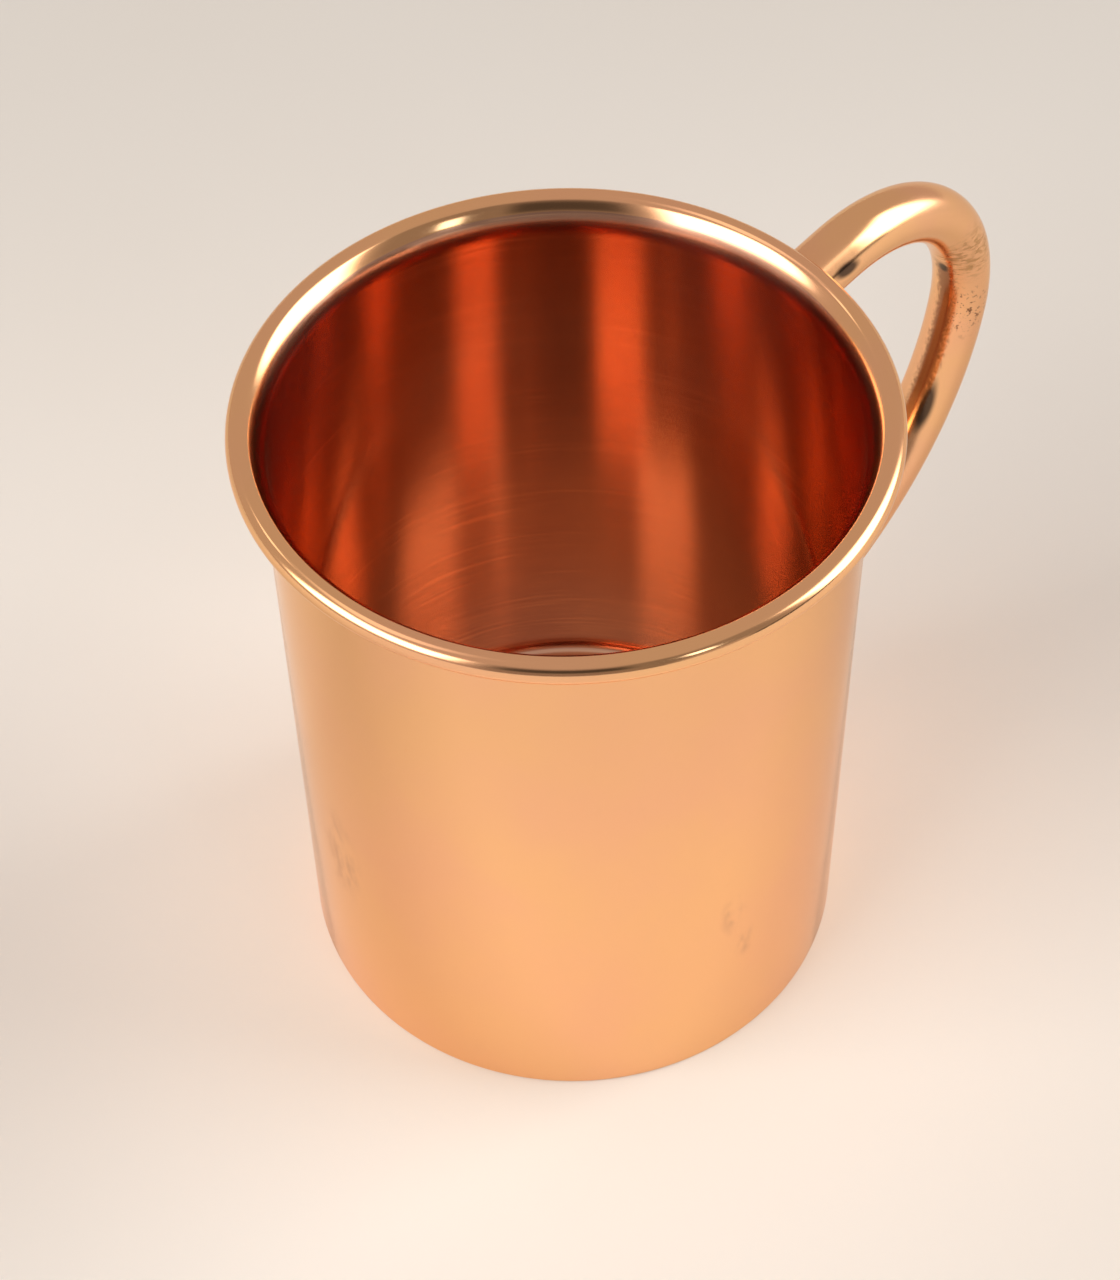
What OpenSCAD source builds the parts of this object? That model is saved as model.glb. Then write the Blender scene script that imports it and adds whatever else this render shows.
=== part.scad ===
// Copper mug: a straight cup of thin sheet with a rolled lip, a raised floor
// pressed up from its own pan, and a bent rod handle brazed to the wall.
// Millimetres, +Z up. The origin is the centre of the foot ring, on the surface
// that the mug stands on. The handle lies in the XZ plane, towards +X.

/* [Cup wall] */
// Outside diameter of the straight wall
body_d = 80; // [70:1:90]
// Height from the foot to the top of the lip
height = 100.45; // [90:0.05:115]
// Thickness of the wall's sheet
wall_t = 0.9; // [0.7:0.1:1.1]
// Rounding of the outside edge at the foot
foot_round_r = 0.4; // [0.2:0.1:0.6]

/* [Rolled lip] */
// Diameter of the rolled bead
bead_d = 3.5; // [3.2:0.1:4.2]
// How far the bead stands out from the wall's outside face
bead_out = 4; // [3.4:0.1:4.6]
// How far the sheet turns round the bead, in degrees
bead_turn = 280; // [240:5:285]
// Radius of the flare, inside the cup, that carries the wall out to the bead
flare_r = 7; // [6:0.5:9]

/* [Base pan] */
// Height of the floor's upper face above the foot
floor_z = 5.6; // [4:0.1:9]
// Thickness of the pan's sheet
pan_t = 1; // [0.8:0.1:1.2]
// Outside radius of the bend between the floor and its flange
pan_bend_r = 1.8; // [1.4:0.1:2.4]
// Height of the flange's lower edge above the foot
flange_z = 0.8; // [0.4:0.1:1.5]
// Radius of the filled seam round the floor
seam_r = 1.8; // [1.2:0.1:2.4]

/* [Handle] */
// Diameter of the rod
rod_d = 8.7; // [7:0.1:9]
// Depth of the rod's centre line below the top of the lip, where it meets the wall
arm_drop = 9.8; // [9.6:0.1:15]
// Upward slope of the top arm, in degrees
arm_rise = 9.5; // [0:0.5:10]
// Length of the straight top arm
arm_len = 13; // [10:0.5:20]
// Centre-line radius of the knuckle, the bend at the top
knuckle_r = 26.5; // [24:0.5:28]
// Degrees turned by the knuckle
knuckle_turn = 106; // [100:1:110]
// Centre-line radius of the back bend, which the fingers close round
back_r = 51; // [46:1:54]
// Degrees turned by the back bend; the lower bend turns the rest
back_turn = 56; // [50:1:60]
// Centre-line radius of the lower bend
lower_r = 30; // [20:1:36]
// Radius of the brazed fillet round each root
braze_r = 1.6; // [1:0.1:2]

/* [Hidden] */
$fn = 128;
copper = [0.85, 0.55, 0.36];
copper_dark = [0.72, 0.42, 0.26];
filler = [0.80, 0.62, 0.42];

body_r = body_d / 2;
bore_r = body_r - wall_t;
bead_r = bead_d / 2;
bead_x = body_r + bead_out - bead_r;
bead_z = height - bead_r;
flare_x = bore_r + flare_r;
lean = asin((flare_x - bead_x) / (flare_r - bead_r)); // the flare's last normal, in from vertical
flare_z = bead_z - (flare_r - bead_r) * cos(lean);    // where the straight wall ends
rod_r = rod_d / 2;
arm_z = height - arm_drop;
lower_turn = 180 + arm_rise - knuckle_turn - back_turn;
rod_sides = 40;                  // sides of the rod's swept surface
step_turn = 4;                   // most degrees between two of its rings
fine = 720;                      // sides of the wall where thin fillets are cut against it

// A station on the rod's centre line is [x, z, slope of the line in degrees]
function arc_station(st, radius, turn) = [
    st[0] + radius * (sin(st[2]) - sin(st[2] - turn)),
    st[1] + radius * (cos(st[2] - turn) - cos(st[2])),
    st[2] - turn
];
function bend_stations(st, radius, turn) =
    let (count = ceil(turn / step_turn))
    [for (i = [1:count]) arc_station(st, radius, turn * i / count)];

arm_end = [body_r + arm_len * cos(arm_rise), arm_z + arm_len * sin(arm_rise), arm_rise];
knuckle_end = arc_station(arm_end, knuckle_r, knuckle_turn);
back_end = arc_station(knuckle_end, back_r, back_turn);
tail_start = arc_station(back_end, lower_r, lower_turn);
stations = concat(
    [arm_end],
    bend_stations(arm_end, knuckle_r, knuckle_turn),
    bend_stations(knuckle_end, back_r, back_turn),
    bend_stations(back_end, lower_r, lower_turn)
);

// One ring of the rod's surface, square to the line
function rod_ring(st) = [
    for (i = [0:rod_sides - 1])
        let (a = 360 * i / rod_sides)
        [
            st[0] - rod_r * cos(a) * sin(st[2]),
            rod_r * sin(a),
            st[1] + rod_r * cos(a) * cos(st[2])
        ]
];
// The same ring slid along the line until each of its points is on the wall
function root_ring(st) = [
    for (p = rod_ring(st))
        let (x = sqrt(body_r * body_r - p[1] * p[1]))
        [x, p[1], p[2] + (x - p[0]) * tan(st[2])]
];
function root_centre(st) = [body_r, 0, st[1] + (body_r - st[0]) * tan(st[2])];

// Half section with one rounded upper corner, from the axis out to radius r
module rounded_disc_section(r, top, corner_r) {
    square([r - corner_r, top]);
    square([r, top - corner_r]);
    translate([r - corner_r, top - corner_r]) circle(r = corner_r);
}

// A bend of the sheet in section, of outside radius r about the origin
module sheet_bend(r) {
    difference() {
        circle(r = r);
        circle(r = r - wall_t);
    }
}

// A wedge about the origin, from one angle anticlockwise to another less than 180 on
module wedge(from, to) {
    reach = 2 * flare_r;
    middle = (from + to) / 2;
    polygon([
        [0, 0],
        reach * [cos(from), sin(from)],
        reach * [cos(middle), sin(middle)],
        reach * [cos(to), sin(to)]
    ]);
}

// The sheet flares outwards, then turns over and round into a nearly closed bead
module lip_section() {
    start = 90 + lean;           // where on the bead its turn starts, clockwise from here
    translate([flare_x, flare_z])
        intersection() {
            sheet_bend(flare_r);
            wedge(start, 180);
        }
    translate([bead_x, bead_z])
        difference() {
            sheet_bend(bead_r);
            wedge(start, start + 360 - bead_turn);
        }
}

module wall_section() {
    translate([bore_r, foot_round_r]) square([wall_t, flare_z - foot_round_r]);
    translate([bore_r, 0]) square([wall_t - foot_round_r, 2 * foot_round_r]);
    translate([body_r - foot_round_r, foot_round_r]) circle(r = foot_round_r);
    lip_section();
}

module pan_section() {
    difference() {
        rounded_disc_section(bore_r, floor_z, pan_bend_r);
        rounded_disc_section(bore_r - pan_t, floor_z - pan_t, pan_bend_r - pan_t);
        square([bore_r, flange_z]);
    }
}

// Filler metal in the groove between the pan's bend and the wall, and up the wall
module seam_section() {
    difference() {
        translate([bore_r - seam_r, floor_z - pan_bend_r]) square([seam_r, pan_bend_r + seam_r]);
        translate([bore_r - seam_r, floor_z + seam_r]) circle(r = seam_r);
        rounded_disc_section(bore_r, floor_z, pan_bend_r);
    }
}

// The wall and its flare filled in, to cut the fillets with
module wall_solid() {
    cylinder(r = body_r, h = flare_z, $fn = fine);
    translate([0, 0, flare_z])
        rotate_extrude($fn = fine)
            difference() {
                square([bead_x, bead_z - flare_z]);
                translate([flare_x, 0]) circle(r = flare_r - wall_t);
            }
}

// The rod as one closed tube of rings, with a fan of triangles over each root
module bent_rod() {
    rings = concat([root_ring(arm_end)], [for (st = stations) rod_ring(st)], [root_ring(tail_start)]);
    n = rod_sides;
    last = len(rings) - 1;
    points = concat([for (r = rings) each r], [root_centre(arm_end), root_centre(tail_start)]);
    sides = [
        for (k = [0:last - 1], i = [0:n - 1])
            let (j = (i + 1) % n)
            each [
                [k * n + i, k * n + j, (k + 1) * n + i],
                [k * n + j, (k + 1) * n + j, (k + 1) * n + i]
            ]
    ];
    first_cap = [for (i = [0:n - 1]) [len(points) - 2, (i + 1) % n, i]];
    last_cap = [for (i = [0:n - 1]) [len(points) - 1, last * n + i, last * n + (i + 1) % n]];
    polyhedron(points = points, faces = concat(sides, first_cap, last_cap));
}

// Concave collar of filler round a rod that leaves the wall along +X
module braze_collar() {
    skirt = 2;                   // how far the collar starts inside the wall's face, before it is cut
    collar_r = rod_r + braze_r;
    translate([-skirt, 0, 0])
        rotate([0, 90, 0])
            rotate_extrude()
                difference() {
                    translate([rod_r, 0]) square([braze_r, skirt + braze_r]);
                    translate([collar_r, skirt + braze_r]) circle(r = braze_r);
                }
}

module cup_wall() {
    color(copper) rotate_extrude() wall_section();
}

module base_pan() {
    color(copper_dark) rotate_extrude() pan_section();
}

module base_seam() {
    color(filler) rotate_extrude() seam_section();
}

module handle() {
    color(copper) bent_rod();
}

module upper_braze() {
    color(filler) difference() {
        translate([body_r, 0, arm_z]) rotate([0, -arm_rise, 0]) braze_collar();
        wall_solid();
    }
}

module lower_braze() {
    color(filler) difference() {
        translate([body_r, 0, tail_start[1]]) braze_collar();
        wall_solid();
    }
}

cup_wall();
base_pan();
base_seam();
handle();
upper_braze();
lower_braze();
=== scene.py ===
"""Looks for the copper mug: a spun cup with a rolled lip, a pressed floor and a brazed rod handle.

Metres, in the part's own frame: +Z up along the cup's axis, +X out through the handle.
"""

import math

import bmesh
import bpy
from mathutils import Matrix, Vector


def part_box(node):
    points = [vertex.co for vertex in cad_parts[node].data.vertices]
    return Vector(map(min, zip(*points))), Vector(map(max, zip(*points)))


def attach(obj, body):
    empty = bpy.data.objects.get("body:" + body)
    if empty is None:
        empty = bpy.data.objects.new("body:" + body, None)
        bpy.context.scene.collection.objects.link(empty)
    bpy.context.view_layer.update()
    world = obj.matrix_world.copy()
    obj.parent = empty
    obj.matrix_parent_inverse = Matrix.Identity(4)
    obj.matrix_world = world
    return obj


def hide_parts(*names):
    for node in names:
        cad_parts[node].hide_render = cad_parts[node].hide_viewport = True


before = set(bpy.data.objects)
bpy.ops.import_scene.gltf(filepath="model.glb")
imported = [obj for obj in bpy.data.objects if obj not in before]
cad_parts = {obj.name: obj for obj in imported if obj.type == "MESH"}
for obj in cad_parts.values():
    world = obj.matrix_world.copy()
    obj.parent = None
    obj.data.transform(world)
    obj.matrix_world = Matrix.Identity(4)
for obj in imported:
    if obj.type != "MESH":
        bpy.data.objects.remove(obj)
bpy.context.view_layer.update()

MM = 0.001

# ---------------------------------------------------------------- sizes

wall_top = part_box("cup_wall")[1]
pan_low, pan_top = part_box("base_pan")
rod_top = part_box("handle")[1]

# The sheet's own bends, as the part is drawn
WALL_T = 0.9 * MM
BEAD_R = 1.75 * MM
BEAD_TURN = 280.0
FLARE_R = 7.0 * MM
FOOT_ROUND_R = 0.4 * MM
PAN_T = 1.0 * MM
PAN_BEND_R = 1.8 * MM
SEAM_R = 1.8 * MM

HEIGHT = wall_top.z
BORE_R = pan_top.y
BODY_R = BORE_R + WALL_T
FLOOR_Z = pan_top.z
FLANGE_Z = pan_low.z

# The bead's centre, and the flare's, which leans the sheet out to meet the bead
BEAD_X = wall_top.y - BEAD_R
BEAD_Z = HEIGHT - BEAD_R
FLARE_X = BORE_R + FLARE_R
LEAN = math.degrees(math.asin((FLARE_X - BEAD_X) / (FLARE_R - BEAD_R)))
FLARE_Z = BEAD_Z - (FLARE_R - BEAD_R) * math.cos(math.radians(LEAN))

# The rod's route, as the part is drawn: (radius, degrees turned) for each bend
ROD_R = rod_top.y
ARM_RISE = 9.5
ARM_LEN = 13.0 * MM
ARM_DROP = 9.8 * MM
ROOT_Z = HEIGHT - ARM_DROP
KNUCKLE = (26.5 * MM, 106.0)
BACK = (51.0 * MM, 56.0)
LOWER = (30.0 * MM, 180.0 + ARM_RISE - KNUCKLE[1] - BACK[1])
BRAZE_R = 1.6 * MM

ROD_BURIED = 0.5 * MM      # how far the rod's ends run into the wall
BRAZE_BURIED = 0.3 * MM    # how far a fillet runs into the wall and the rod

ROUND_STEPS = 256          # steps round the cup
ROD_STEPS = 80             # steps round the rod
BRAZE_STEPS = 12           # steps across a fillet
BEND_STEP = 1.5            # degrees between two rings in the rod's bends
CREASE = math.radians(35)
TINY = 1e-7                # closer points are one point

# ---------------------------------------------------------------- meshes


def piece(name, bm, node, material):
    """Finishes a bmesh as a piece that stands for one CAD node."""
    bmesh.ops.recalc_face_normals(bm, faces=bm.faces)
    mesh = bpy.data.meshes.new(name)
    bm.to_mesh(mesh)
    bm.free()
    mesh.shade_smooth()
    mesh.set_sharp_from_angle(angle=CREASE)
    mesh.materials.append(material)
    obj = bpy.data.objects.new(name, mesh)
    bpy.context.scene.collection.objects.link(obj)
    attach(obj, "root")
    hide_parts(node)
    return obj


def arc(cx, cz, radius, start, end, steps):
    """Points of an arc in the half section, from start to end degrees."""
    points = []
    for i in range(steps + 1):
        a = math.radians(start + (end - start) * i / steps)
        points.append((cx + radius * math.cos(a), cz + radius * math.sin(a)))
    return points


def lathe(profile):
    """Turns a closed half section about the cup's axis."""
    bm = bmesh.new()
    rings = []
    for k in range(ROUND_STEPS):
        a = 2 * math.pi * k / ROUND_STEPS
        c, s = math.cos(a), math.sin(a)
        rings.append([bm.verts.new((r * c, r * s, z)) for r, z in profile])
    count = len(profile)
    for k in range(ROUND_STEPS):
        here, there = rings[k], rings[(k + 1) % ROUND_STEPS]
        for i in range(count):
            j = (i + 1) % count
            on_axis = profile[i][0] < TINY and profile[j][0] < TINY
            if not on_axis:
                bm.faces.new((here[i], there[i], there[j], here[j]))
    bmesh.ops.remove_doubles(bm, verts=bm.verts, dist=TINY)
    return bm


def tube(rings, closed_ends):
    """Skins a list of rings of equal length, with end caps or back round to the first ring."""
    bm = bmesh.new()
    rows = [[bm.verts.new(p) for p in ring] for ring in rings]
    pairs = list(zip(rows, rows[1:]))
    if not closed_ends:
        pairs.append((rows[-1], rows[0]))
    count = len(rings[0])
    for here, there in pairs:
        for i in range(count):
            j = (i + 1) % count
            bm.faces.new((here[i], here[j], there[j], there[i]))
    if closed_ends:
        bm.faces.new(rows[0])
        bm.faces.new(rows[-1])
    return bm


def wall_profile():
    """The wall's sheet: up the inside, out along the flare, round the bead and back down outside."""
    start = 90 + LEAN
    end = start - BEAD_TURN
    points = [(BORE_R, 0.0)]
    points += arc(FLARE_X, FLARE_Z, FLARE_R, 180, start, 14)
    points += arc(BEAD_X, BEAD_Z, BEAD_R, start, end, 56)[1:]
    points += arc(BEAD_X, BEAD_Z, BEAD_R - WALL_T, end, start, 28)
    points += arc(FLARE_X, FLARE_Z, FLARE_R - WALL_T, start, 180, 10)[1:]
    points += arc(BODY_R - FOOT_ROUND_R, FOOT_ROUND_R, FOOT_ROUND_R, 0, -90, 5)
    return points


def pan_profile():
    """The floor's sheet, flat from the axis and then bent down into its flange."""
    bend_x = BORE_R - PAN_BEND_R
    bend_z = FLOOR_Z - PAN_BEND_R
    points = [(0.0, FLOOR_Z)]
    points += arc(bend_x, bend_z, PAN_BEND_R, 90, 0, 10)
    points += [(BORE_R, FLANGE_Z), (BORE_R - PAN_T, FLANGE_Z)]
    points += arc(bend_x, bend_z, PAN_BEND_R - PAN_T, 0, 90, 6)
    points += [(0.0, FLOOR_Z - PAN_T)]
    return points


def seam_profile():
    """The filler between wall and floor: concave above, down to the pan's own bend below."""
    points = arc(BORE_R - SEAM_R, FLOOR_Z + SEAM_R, SEAM_R, -90, 0, 10)
    points += arc(BORE_R - PAN_BEND_R, FLOOR_Z - PAN_BEND_R, PAN_BEND_R, 0, 90, 8)[:-1]
    return points


def bend(station, radius, turn):
    """Where the rod's centre line is after a bend: (x, z, slope in degrees)."""
    x, z, slope = station
    before = math.radians(slope)
    after = math.radians(slope - turn)
    x += radius * (math.sin(before) - math.sin(after))
    z += radius * (math.cos(after) - math.cos(before))
    return x, z, slope - turn


def rod_stations():
    """The rod's centre line from the end of its straight arm to where it meets the wall again."""
    rise = math.radians(ARM_RISE)
    station = (BODY_R + ARM_LEN * math.cos(rise), ROOT_Z + ARM_LEN * math.sin(rise), ARM_RISE)
    stations = [station]
    for radius, turn in (KNUCKLE, BACK, LOWER):
        steps = math.ceil(turn / BEND_STEP)
        stations += [bend(station, radius, turn * i / steps) for i in range(1, steps + 1)]
        station = stations[-1]
    return stations


def rod_ring(station, slide_to=None):
    """A ring square to the rod's line, or slid along it onto a cylinder about the cup's axis."""
    x0, z0, slope = station
    s = math.radians(slope)
    ring = []
    for i in range(ROD_STEPS):
        a = 2 * math.pi * i / ROD_STEPS
        up = ROD_R * math.cos(a)
        p = Vector((x0 - up * math.sin(s), ROD_R * math.sin(a), z0 + up * math.cos(s)))
        if slide_to is not None:
            x = math.sqrt(slide_to ** 2 - p.y ** 2)
            p.z += (x - p.x) * math.tan(s)
            p.x = x
        ring.append(p)
    return ring


def rod_rings(stations):
    """The whole rod, with both its ends a little inside the wall."""
    rings = [rod_ring(stations[0], BODY_R - ROD_BURIED)]
    rings += [rod_ring(station) for station in stations]
    rings += [rod_ring(stations[-1], BODY_R - ROD_BURIED)]
    return rings


def braze_ring(root_z, slope, seed, out, lift):
    """A ring round the rod's root, out from the rod and lift from the wall.

    Both count in the fillet's own radius, which is a little uneven, or in metres below zero.
    """
    s = math.radians(slope)
    points = []
    for i in range(ROD_STEPS):
        a = 2 * math.pi * i / ROD_STEPS
        size = BRAZE_R * (1 + 0.05 * math.sin(3 * a + seed) + 0.04 * math.sin(7 * a + 2 * seed))
        rho = ROD_R + (out * size if out > 0 else out)
        side = rho * math.sin(a)
        up = rho * math.cos(a)
        along = (math.sqrt(BODY_R ** 2 - side ** 2) - BODY_R + up * math.sin(s)) / math.cos(s)
        along += lift * size if lift > 0 else lift
        x = BODY_R + along * math.cos(s) - up * math.sin(s)
        z = root_z + along * math.sin(s) + up * math.cos(s)
        points.append(Vector((x, side, z)))
    return points


def braze_rings(root_z, slope, seed):
    """A concave fillet between the wall and a rod that leaves it at a slope."""
    path = [(1.0, -BRAZE_BURIED)]
    for k in range(BRAZE_STEPS + 1):
        t = math.radians(90 * k / BRAZE_STEPS)
        path.append((1 - math.sin(t), 1 - math.cos(t)))
    path += [(-BRAZE_BURIED, 1.0), (-BRAZE_BURIED, -BRAZE_BURIED)]
    return [braze_ring(root_z, slope, seed, out, lift) for out, lift in path]


# ---------------------------------------------------------------- materials

COPPER = (0.95, 0.54, 0.265, 1)
COPPER_PINK = (0.94, 0.51, 0.285, 1)
COPPER_DEEP = (0.90, 0.43, 0.19, 1)
COPPER_EDGE = (0.98, 0.88, 0.76, 1)
INNER = (0.75, 0.44, 0.295, 1)
INNER_DARK = (0.68, 0.38, 0.265, 1)
INNER_LINE = (0.96, 0.58, 0.36, 1)
TARNISH = (0.36, 0.21, 0.07, 1)
OXIDE = (0.16, 0.055, 0.03, 1)
MAUVE_TONE = (0.46, 0.22, 0.17, 1)
# painted reflection: the black of dark things mirrored in the rod
DARK_REFLECTION_TONE = (0.05, 0.035, 0.03, 1)

# Soft mauve-brown patches on the wall: a place on the metal and a reach, and how their height is
# squeezed
MAUVE_PATCHES = (
    ((-39.4 * MM, 6.6 * MM, 34.0 * MM), 4.0 * MM),
    ((-7.0 * MM, -39.3 * MM, 33.0 * MM), 2.0 * MM),
    ((-4.6 * MM, -39.7 * MM, 24.5 * MM), 1.5 * MM),
)
MAUVE_SQUEEZE = 0.45
# Painted reflections on the rod: black marks where it mirrors dark things about the mug; a place,
# how each axis is squeezed, and a reach
DARK_REFLECTION_MARKS = (
    ((77.9 * MM, -0.6 * MM, 74.7 * MM), (1.0, 1.0, 0.6), 0.6 * MM),
    ((75.3 * MM, -2.4 * MM, 48.3 * MM), (0.35, 1.0, 0.17), 0.75 * MM),
    ((50.7 * MM, -4.0 * MM, 94.0 * MM), (0.45, 1.0, 1.0), 0.8 * MM),
)
ROOT_AT = (BODY_R, 0.0, ROOT_Z)
TARNISH_AT = (79.4 * MM, -4.2 * MM, 78.0 * MM)
PITS_AT = (81.0 * MM, -3.4 * MM, 65.5 * MM)
# The rod's pitted streak: its line beside the rod's middle plane, and its ends
STREAK_Y = -0.6 * MM
STREAK_LOW = 44.0 * MM
STREAK_HIGH = 74.0 * MM


class Graph:
    """A short way to write a node tree."""

    def __init__(self, tree):
        self.tree = tree
        tree.nodes.clear()

    def add(self, kind, inputs=None, **settings):
        node = self.tree.nodes.new(kind)
        for key, value in settings.items():
            setattr(node, key, value)
        for key, value in (inputs or {}).items():
            if isinstance(value, bpy.types.NodeSocket):
                self.tree.links.new(value, node.inputs[key])
            else:
                node.inputs[key].default_value = value
        return node

    def math(self, operation, a, b=0.0):
        return self.add("ShaderNodeMath", {0: a, 1: b}, operation=operation).outputs[0]

    def product(self, first, *others):
        """All the values, multiplied together."""
        for other in others:
            first = self.math("MULTIPLY", first, other)
        return first

    def vector(self, operation, a, b=(0, 0, 0)):
        return self.add("ShaderNodeVectorMath", {0: a, 1: b}, operation=operation)

    def squeeze(self, where, factors):
        """A place with its axes scaled, which stretches what is drawn there the other way."""
        return self.vector("MULTIPLY", where, factors).outputs[0]

    def parts(self, vector):
        return self.add("ShaderNodeSeparateXYZ", {0: vector}).outputs

    def ramp(self, value, low, high, to_low=0.0, to_high=1.0):
        """Smooth step of value from low..high to to_low..to_high."""
        node = self.add(
            "ShaderNodeMapRange",
            {"Value": value, "From Min": low, "From Max": high, "To Min": to_low, "To Max": to_high},
            interpolation_type="SMOOTHSTEP",
        )
        return node.outputs["Result"]

    def noise(self, where, scale, detail=2.0, roughness=0.5):
        inputs = {"Vector": where, "Scale": scale, "Detail": detail, "Roughness": roughness}
        return self.add("ShaderNodeTexNoise", inputs).outputs["Fac"]

    def mix(self, factor, a, b):
        node = self.add("ShaderNodeMix", {0: factor, 6: a, 7: b}, data_type="RGBA")
        return node.outputs[2]

    def bump(self, height, strength, distance, normal=None):
        inputs = {"Height": height, "Strength": strength, "Distance": distance}
        if normal is not None:
            inputs["Normal"] = normal
        return self.add("ShaderNodeBump", inputs).outputs["Normal"]

    def near(self, where, centre, reach, fade):
        """1 within reach of a place, falling to 0 at reach + fade."""
        d = self.vector("DISTANCE", where, centre).outputs["Value"]
        return self.ramp(d, reach, reach + fade, 1.0, 0.0)

    def surface(self, kind, inputs):
        """The material's shader, wired to its output."""
        shader = self.add(kind, inputs)
        out = self.add("ShaderNodeOutputMaterial")
        self.tree.links.new(shader.outputs[0], out.inputs["Surface"])


def new_material(name):
    """A material, its graph and the place on the object that a pattern is drawn at."""
    material = bpy.data.materials.new(name)
    material.use_nodes = True
    g = Graph(material.node_tree)
    return material, g, g.add("ShaderNodeTexCoord").outputs["Object"]


def metal(g, color, roughness, normal, more=None):
    """Copper's shader. Its edge tint keeps grazing reflections warm."""
    inputs = {
        "Metallic": 1.0,
        "Specular Tint": COPPER_EDGE,
        "Base Color": color,
        "Roughness": roughness,
        "Normal": normal,
    }
    inputs.update(more or {})
    g.surface("ShaderNodeBsdfPrincipled", inputs)


def spun_lines(g, where, fine, coarse):
    """Turning marks: rings about the cup's axis, at two scales."""
    x, y, z = g.parts(where)
    flat = g.add("ShaderNodeCombineXYZ", {"X": x, "Y": y}).outputs[0]
    radius = g.vector("LENGTH", flat).outputs["Value"]
    # the marks come and go slowly round the cup
    drift = g.vector("SCALE", flat)
    drift.inputs["Scale"].default_value = 0.02
    across = g.add("ShaderNodeCombineXYZ", {"Z": g.math("ADD", z, radius)}).outputs[0]
    place = g.vector("ADD", across, drift.outputs[0]).outputs[0]
    return g.noise(place, fine, 3.0, 0.6), g.noise(place, coarse, 2.0, 0.5)


def spun_copper(g, where, tones):
    """The sheet's colour before any marks, and the slow cloudiness it comes from."""
    cloud = g.noise(where, 28.0, 3.0, 0.55)
    speck = g.noise(where, 900.0, 2.0, 0.6)
    color = g.mix(g.ramp(cloud, 0.35, 0.7), *tones)
    return g.mix(g.ramp(speck, 0.72, 0.80, 0.0, 0.5), color, COPPER_DEEP), cloud


def inside_material(name):
    """Spun and unpolished: its turning marks spread reflections up and down the wall."""
    material, g, where = new_material(name)
    fine, coarse = spun_lines(g, where, 9000.0, 1400.0)
    color, cloud = spun_copper(g, where, (INNER, INNER_DARK))
    patchy = g.ramp(g.noise(where, 40.0, 2.0, 0.6), 0.42, 0.62, 0.25, 1.0)
    thin = g.product(g.ramp(fine, 0.50, 0.68), patchy)
    wide = g.product(g.ramp(coarse, 0.58, 0.66), patchy)
    lines = g.math("MAXIMUM", thin, wide)
    color = g.mix(g.product(lines, 0.62), color, INNER_LINE)
    roughness = g.math("ADD", g.ramp(cloud, 0.3, 0.7, 0.10, 0.14), g.product(coarse, 0.05))
    normal = g.bump(coarse, 0.45, 0.03 * MM)
    normal = g.bump(fine, 0.6, 0.006 * MM, normal)
    tangent = g.add("ShaderNodeTangent", direction_type="RADIAL", axis="Z").outputs[0]
    spread = {"Anisotropic": 0.8, "Anisotropic Rotation": 0.25, "Tangent": tangent}
    metal(g, color, roughness, normal, spread)
    return material


def outside_material(name):
    """Polished, slightly wavy sheet with a few soft mauve-brown patches and hairline scratches."""
    material, g, where = new_material(name)
    fine = spun_lines(g, where, 14000.0, 1400.0)[0]
    color, cloud = spun_copper(g, where, (COPPER, COPPER_PINK))
    tall = g.squeeze(where, (1.0, 1.0, MAUVE_SQUEEZE))
    mauve_patch = 0.0
    for (x, y, z), reach in MAUVE_PATCHES:
        here = g.near(tall, (x, y, z * MAUVE_SQUEEZE), 0.3 * reach, 1.2 * reach)
        mauve_patch = g.math("MAXIMUM", mauve_patch, here)
    mauve_patch = g.product(mauve_patch, g.ramp(g.noise(tall, 420.0, 3.0, 0.6), 0.40, 0.66))
    # the patches tint the metal mauve-brown and make it a little rougher
    color = g.mix(g.product(mauve_patch, 0.30), color, MAUVE_TONE)
    roughness = g.math("ADD", g.ramp(cloud, 0.3, 0.7, 0.11, 0.16), g.product(mauve_patch, 0.12))
    scratch = g.add(
        "ShaderNodeTexVoronoi",
        {"Vector": g.squeeze(where, (1.0, 1.0, 0.08)), "Scale": 700.0},
        feature="DISTANCE_TO_EDGE",
    ).outputs["Distance"]
    normal = g.bump(g.noise(where, 45.0, 1.0, 0.4), 0.25, 0.15 * MM)
    normal = g.bump(fine, 0.25, 0.002 * MM, normal)
    normal = g.bump(g.ramp(scratch, 0.0, 0.012, 1.0, 0.0), 0.10, 0.004 * MM, normal)
    metal(g, color, roughness, normal)
    return material


def rod_streak(g, where, pits):
    """A pitted streak down the rod's inner side, between its two ends."""
    y, z = g.parts(where)[1:]
    facing = g.parts(g.add("ShaderNodeNewGeometry").outputs["Normal"])["X"]
    aside = g.math("ABSOLUTE", g.math("SUBTRACT", y, STREAK_Y))
    aside = g.math("ADD", aside, g.product(g.math("SUBTRACT", pits, 0.5), 2.0 * MM))
    return g.product(
        g.ramp(aside, 0.7 * MM, 2.0 * MM, 1.0, 0.0),
        g.ramp(facing, -0.2, -0.5, 0.0, 1.0),
        g.ramp(z, STREAK_LOW, STREAK_LOW + 8 * MM),
        g.ramp(z, STREAK_HIGH, STREAK_HIGH + 3 * MM, 1.0, 0.0),
    )


def rod_dark_reflections(g, where):
    """Painted reflections of dark things about the mug: black marks, each stretched along the rod
    where it lies.
    """
    reflected_dark = 0.0
    for place, factors, reach in DARK_REFLECTION_MARKS:
        centre = [p * q for p, q in zip(place, factors)]
        here = g.near(g.squeeze(where, factors), centre, 0.7 * reach, reach)
        reflected_dark = g.math("MAXIMUM", reflected_dark, here)
    return reflected_dark


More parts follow.
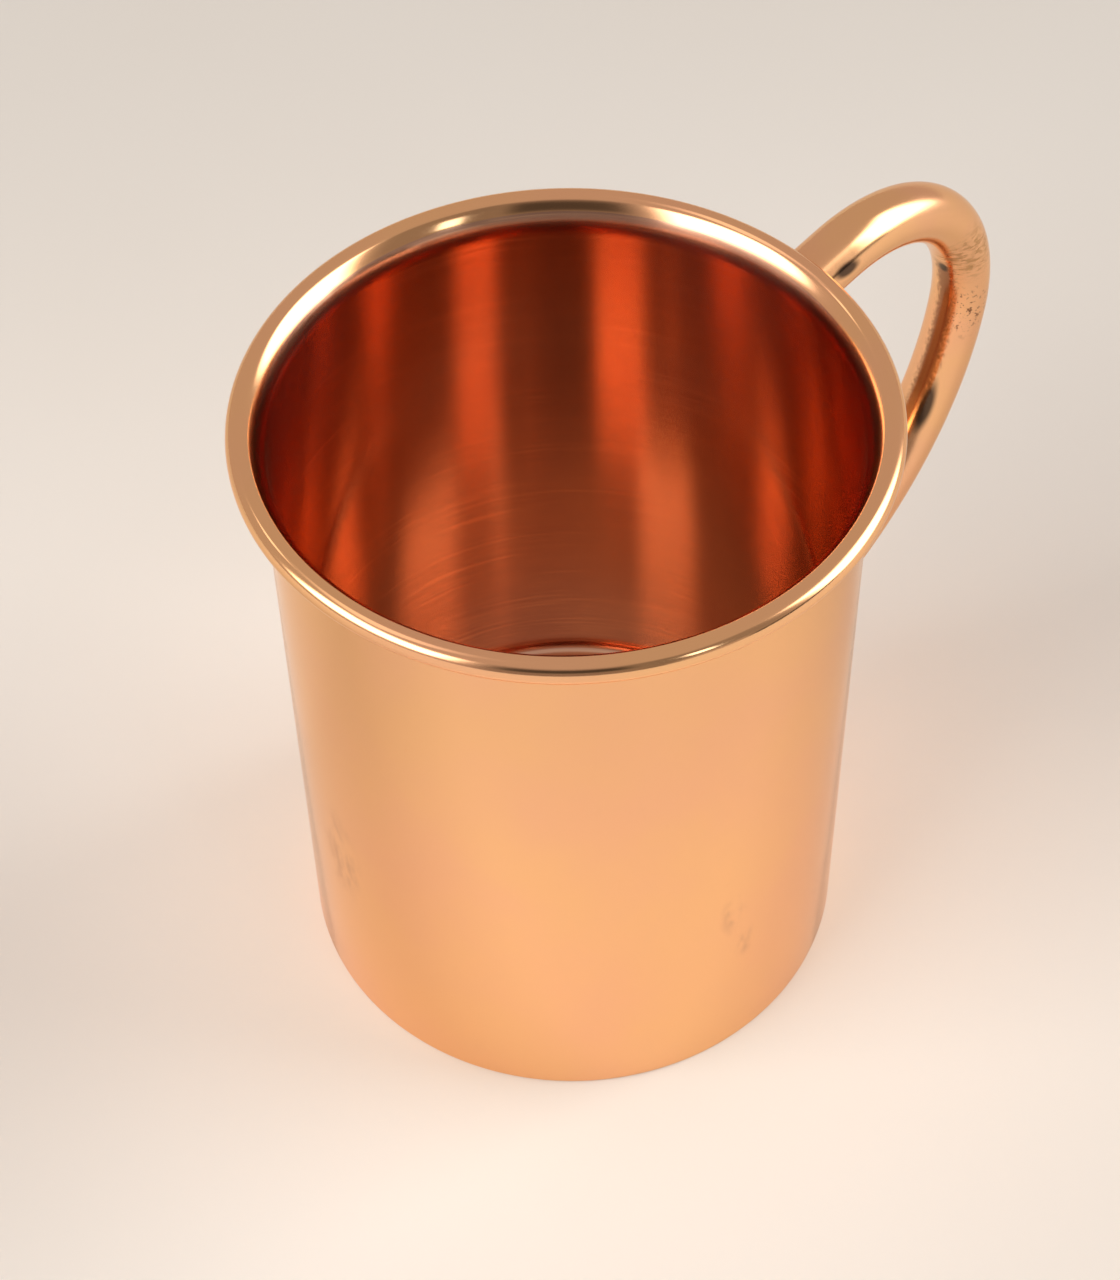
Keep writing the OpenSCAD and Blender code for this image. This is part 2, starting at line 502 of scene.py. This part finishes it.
def rod_material(name):
    """Polished rod, deeper in colour at its brazed root, with tarnish and pits on the knuckle, and
    black marks that are painted reflections.
    """
    material, g, where = new_material(name)
    cloud = g.noise(where, 60.0, 3.0, 0.6)
    grain = g.noise(where, 2600.0, 3.0, 0.6)
    pits = g.noise(where, 1500.0, 2.0, 0.7)
    color = g.mix(g.ramp(cloud, 0.35, 0.7), COPPER, COPPER_PINK)
    root = g.near(where, ROOT_AT, 5.0 * MM, 9.0 * MM)
    color = g.mix(g.product(root, 0.30), color, COPPER_DEEP)
    # tarnish, broken into short marks round the rod
    level = g.squeeze(where, (1.0, 0.35, 3.2))
    marks = g.ramp(g.noise(level, 560.0, 4.0, 0.65), 0.44, 0.60)
    tarnish = g.product(g.near(where, TARNISH_AT, 2.5 * MM, 5.0 * MM), marks)
    color = g.mix(g.product(tarnish, 0.62), color, TARNISH)
    # a cluster of dark pits below it, and the streak
    cluster = g.product(g.near(where, PITS_AT, 1.5 * MM, 5.0 * MM), g.ramp(pits, 0.58, 0.63))
    dark = g.math("MAXIMUM", cluster, g.product(rod_streak(g, where, pits), 0.9))
    color = g.mix(g.product(dark, 0.85), color, OXIDE)
    # painted reflections: black marks where the rod mirrors dark things
    color = g.mix(g.product(rod_dark_reflections(g, where), 0.92), color, DARK_REFLECTION_TONE)
    roughness = g.math("ADD", g.ramp(cloud, 0.3, 0.7, 0.15, 0.22), g.product(tarnish, 0.15))
    normal = g.bump(cloud, 0.3, 0.10 * MM)
    normal = g.bump(grain, 0.15, 0.004 * MM, normal)
    normal = g.bump(dark, 0.6, -0.03 * MM, normal)
    metal(g, color, roughness, normal)
    return material


def filler_material(name):
    """Brazing metal, lumpier and duller than the rod."""
    material, g, where = new_material(name)
    cloud = g.noise(where, 350.0, 3.0, 0.6)
    color = g.mix(g.ramp(cloud, 0.35, 0.65), COPPER, COPPER_DEEP)
    roughness = g.ramp(cloud, 0.3, 0.7, 0.14, 0.26)
    metal(g, color, roughness, g.bump(cloud, 0.5, 0.06 * MM))
    return material


# ---------------------------------------------------------------- the mug

outside_copper = outside_material("copper_outside")
inside_copper = inside_material("copper_inside")
rod_copper = rod_material("copper_rod")
filler = filler_material("braze_filler")

cup = piece("cup_shell", lathe(wall_profile()), "cup_wall", outside_copper)
cup.data.materials.append(inside_copper)
inside_index = len(cup.data.materials) - 1
for face in cup.data.polygons:
    c = face.center
    within = c.z < BEAD_Z and math.hypot(c.x, c.y) < BEAD_X
    if within and face.normal.x * c.x + face.normal.y * c.y < 0:
        face.material_index = inside_index

piece("cup_floor", lathe(pan_profile()), "base_pan", inside_copper)
piece("floor_seam", lathe(seam_profile()), "base_seam", inside_copper)

stations = rod_stations()
piece("rod_handle", tube(rod_rings(stations), True), "handle", rod_copper)

top_fillet = braze_rings(ROOT_Z, ARM_RISE, seed=0.7)
bottom_fillet = braze_rings(stations[-1][1], 0.0, seed=2.1)
piece("braze_top", tube(top_fillet, False), "upper_braze", filler)
piece("braze_bottom", tube(bottom_fillet, False), "lower_braze", filler)

# ---------------------------------------------------------------- the studio

FLOOR_REACH = 2.5
PHOTO_TURN = -44.0         # the picture's right, as an azimuth in the part's frame
CLOTH_NEAR = (0.865, 0.855, 0.825, 1)
# Painted light: a brighter tone laid round the mug, which lifts the shadow the mug casts on the
# cloth
CLOTH_LIT_ROUND = (0.98, 0.965, 0.93, 1)
# Painted shade: the cloth is duller behind the mug, where the light falls off
CLOTH_FAR_SHADED = (0.66, 0.655, 0.63, 1)
# Painted shade of the cloth's folds, laid in soft blotches
CLOTH_FOLD_SHADE = (0.62, 0.55, 0.47, 1)

# The room, as soft-edged patches: (azimuth, elevation, half width, half height, softness) in
# degrees, azimuths from the camera's right, then how dark, or a tint and a strength
ROOM = (0.54, 0.465, 0.43, 1)
DARK = (0.02, 0.02, 0.015, 1)
BEYOND = (0.62, 0.59, 0.56, 1)
SHADES = (
    ((-88.0, 22.0, 30.0, 30.0, 14.0), 0.50),
    ((-92.0, 33.0, 20.0, 11.0, 8.0), 0.80),
    ((-42.0, 30.0, 20.0, 20.0, 12.0), 0.45),
)
LIGHTS = (
    ((9.0, 24.0, 22.0, 21.0, 12.0), (1.0, 0.96, 0.90), 4.2),
    ((-152.0, 30.0, 26.0, 16.0, 11.0), (1.0, 0.96, 0.90), 4.2),
    ((146.0, 46.0, 6.0, 4.0, 4.0), (1.0, 0.93, 0.86), 1.2),
    ((160.0, 66.0, 30.0, 9.0, 10.0), (1.0, 0.93, 0.86), 0.7),
    ((-51.0, 27.0, 4.0, 7.0, 3.0), (0.85, 0.93, 1.0), 3.0),
)
LOW_SHADE = ((-22.0, 0.0, 16.0, 8.0, 5.0), 0.85)


def cloth_material(name):
    """A pale cloth with painted light and shade: painted brighter round the mug, over the mug's
    shadow, painted duller behind it, and painted fold shade in soft blotches.
    """
    material, g, where = new_material(name)
    shade = g.noise(where, 5.0, 2.0, 0.5)
    away = Matrix.Rotation(math.radians(PHOTO_TURN), 3, "Z") @ Vector((0.0, 1.0, 0.0))
    depth = g.vector("DOT_PRODUCT", where, away).outputs["Value"]
    # painted light round the mug's foot, over its own shadow
    painted_lift = g.near(where, (0.0, 0.0, 0.0), 50.0 * MM, 60.0 * MM)
    color = g.mix(painted_lift, CLOTH_NEAR, CLOTH_LIT_ROUND)
    # painted shade, growing away from the camera's side
    color = g.mix(g.ramp(depth, -40.0 * MM, 260.0 * MM), color, CLOTH_FAR_SHADED)
    # painted fold shade in soft blotches
    color = g.mix(g.ramp(shade, 0.35, 0.7, 0.0, 0.12), color, CLOTH_FOLD_SHADE)
    folds = g.bump(g.noise(where, 9.0, 2.0, 0.45), 0.35, 4.0 * MM)
    weave = g.bump(g.noise(where, 2500.0, 2.0, 0.6), 0.2, 0.05 * MM, folds)
    inputs = {"Base Color": color, "Roughness": 0.9, "Specular IOR Level": 0.2, "Normal": weave}
    g.surface("ShaderNodeBsdfPrincipled", inputs)
    return material


def studio_floor():
    """A round pale floor under the mug."""
    bm = bmesh.new()
    bmesh.ops.create_circle(bm, cap_ends=True, segments=96, radius=FLOOR_REACH)
    mesh = bpy.data.meshes.new("studio_floor")
    bm.to_mesh(mesh)
    bm.free()
    mesh.materials.append(cloth_material("pale_cloth"))
    obj = bpy.data.objects.new("studio_floor", mesh)
    bpy.context.scene.collection.objects.link(obj)


def patch(g, azimuth, elevation, place):
    """1 inside a soft-edged patch of the room, 0 outside it."""
    az, el, wide, tall, soft = [math.radians(v) for v in place]
    turned = g.math("SUBTRACT", azimuth, az + math.radians(PHOTO_TURN))
    wrap = g.add("ShaderNodeMath", {0: turned, 1: math.pi, 2: -math.pi}, operation="WRAP")
    aside = g.math("ABSOLUTE", wrap.outputs[0])
    above = g.math("ABSOLUTE", g.math("SUBTRACT", elevation, el))
    across = g.ramp(aside, wide - soft / 2, wide + soft / 2, 1.0, 0.0)
    up = g.ramp(above, tall - soft / 2, tall + soft / 2, 1.0, 0.0)
    return g.product(across, up)


def room_world(name):
    """The soft room that lights the mug and shows in its metal."""
    world = bpy.data.worlds.new(name)
    world.use_nodes = True
    g = Graph(world.node_tree)
    x, y, z = g.parts(g.add("ShaderNodeTexCoord").outputs["Generated"])
    azimuth = g.math("ARCTAN2", y, x)
    elevation = g.math("ARCSINE", z)
    light = ROOM
    for place, depth in SHADES:
        shade = g.product(patch(g, azimuth, elevation, place), depth)
        light = g.mix(shade, light, DARK)
    for place, tint, strength in LIGHTS:
        glow = g.vector("SCALE", [strength * t for t in tint])
        g.tree.links.new(patch(g, azimuth, elevation, place), glow.inputs["Scale"])
        light = g.vector("ADD", light, glow.outputs[0]).outputs[0]
    place, depth = LOW_SHADE
    light = g.mix(g.product(patch(g, azimuth, elevation, place), depth), light, DARK)
    # Seen straight on, past the floor's edge, the room is one plain pale tone
    straight = g.add("ShaderNodeLightPath").outputs["Is Camera Ray"]
    light = g.mix(straight, light, BEYOND)
    background = g.add("ShaderNodeBackground", {"Color": light, "Strength": 1.0})
    out = g.add("ShaderNodeOutputWorld")
    g.tree.links.new(background.outputs[0], out.inputs["Surface"])
    return world


studio_floor()
scene = bpy.context.scene
scene.world = room_world("studio")
scene.view_settings.view_transform = "Standard"
scene.cycles.glossy_bounces = 10     # light meets the inside of the cup many times

# ---------------------------------------------------------------- camera

CAMERA_OUT = 248.3 * MM
CAMERA_UP = 350.2 * MM
# Radians: down from level, right of the mug's axis, and about the line of sight
CAMERA_PITCH = 0.8733
CAMERA_YAW = -0.0054
CAMERA_ROLL = -0.0210
LENS = 76.63               # mm, on Blender's 36 mm sensor

camera_data = bpy.data.cameras.new("camera")
camera_data.lens = LENS
camera_data.sensor_width = 36.0
camera = bpy.data.objects.new("camera", camera_data)
scene.collection.objects.link(camera)
turn = math.radians(PHOTO_TURN)
stand = Matrix.Rotation(turn, 3, "Z") @ Vector((0.0, -CAMERA_OUT, CAMERA_UP))
heading = Matrix.Rotation(turn - CAMERA_YAW, 4, "Z")
tilt = Matrix.Rotation(math.pi / 2 - CAMERA_PITCH, 4, "X")
roll = Matrix.Rotation(CAMERA_ROLL, 4, "Z")
camera.matrix_world = Matrix.Translation(stand) @ heading @ tilt @ roll
scene.camera = camera
